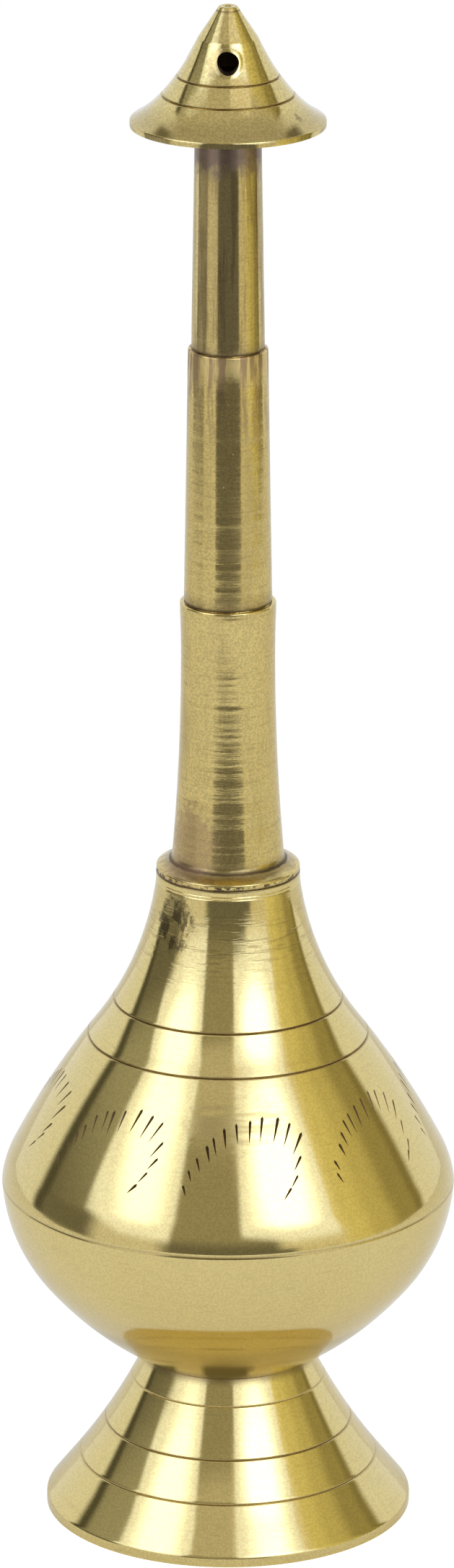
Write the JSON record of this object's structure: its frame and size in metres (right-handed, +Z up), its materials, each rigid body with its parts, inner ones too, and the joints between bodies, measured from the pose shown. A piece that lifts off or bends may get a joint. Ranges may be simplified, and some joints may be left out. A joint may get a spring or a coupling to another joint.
{
  "type": "rosewater sprinkler",
  "caption": "Turned brass rosewater sprinkler: pear-shaped bottle on a flared hollow foot, long stepped neck that unscrews for filling, and a drilled conical hat.",
  "frame": {"origin": "centre of the foot's underside, on the surface the sprinkler stands on", "axes": "+Z up along the axis of turning; one of the hat's three drilled holes faces -Y"},
  "size_m": [0.073, 0.073, 0.25],
  "materials": {
    "brass_belly": "turned and polished, with fine lathe lines and light handling wear",
    "brass_neck": "turned, with coarse chatter rings, pitting and brown tarnish near its joints",
    "brass_inner": "turned, unpolished and dulled, inside the screw joint",
    "washer_leather": "plain pressed leather, dark from use"
  },
  "bodies": {
    "vessel": {"foot": "brass_belly", "bowl": "brass_belly", "shoulder": "brass_belly", "mouth_bush": "brass_inner"},
    "seal": {"seal_washer": "washer_leather"},
    "neck": {"neck_nipple": "brass_inner", "neck_lower": "brass_neck", "neck_middle": "brass_neck", "neck_upper": "brass_neck", "sprinkler_hat": "brass_belly"}
  },
  "joints": [
    {"name": "neck_lift", "type": "slide", "parent": "vessel", "child": "seal", "axis": [0, 0, 1], "range_m": [0, 0.01]},
    {"name": "neck_unscrew", "type": "hinge", "parent": "seal", "child": "neck", "pos_m": [0, 0, 0.1085], "axis": [0, 0, 1], "range_deg": [0, 1800]}
  ],
  "couplings": [
    {"joint": "neck_unscrew", "follows": "neck_lift", "rad_per_m": 3141.6}
  ]
}
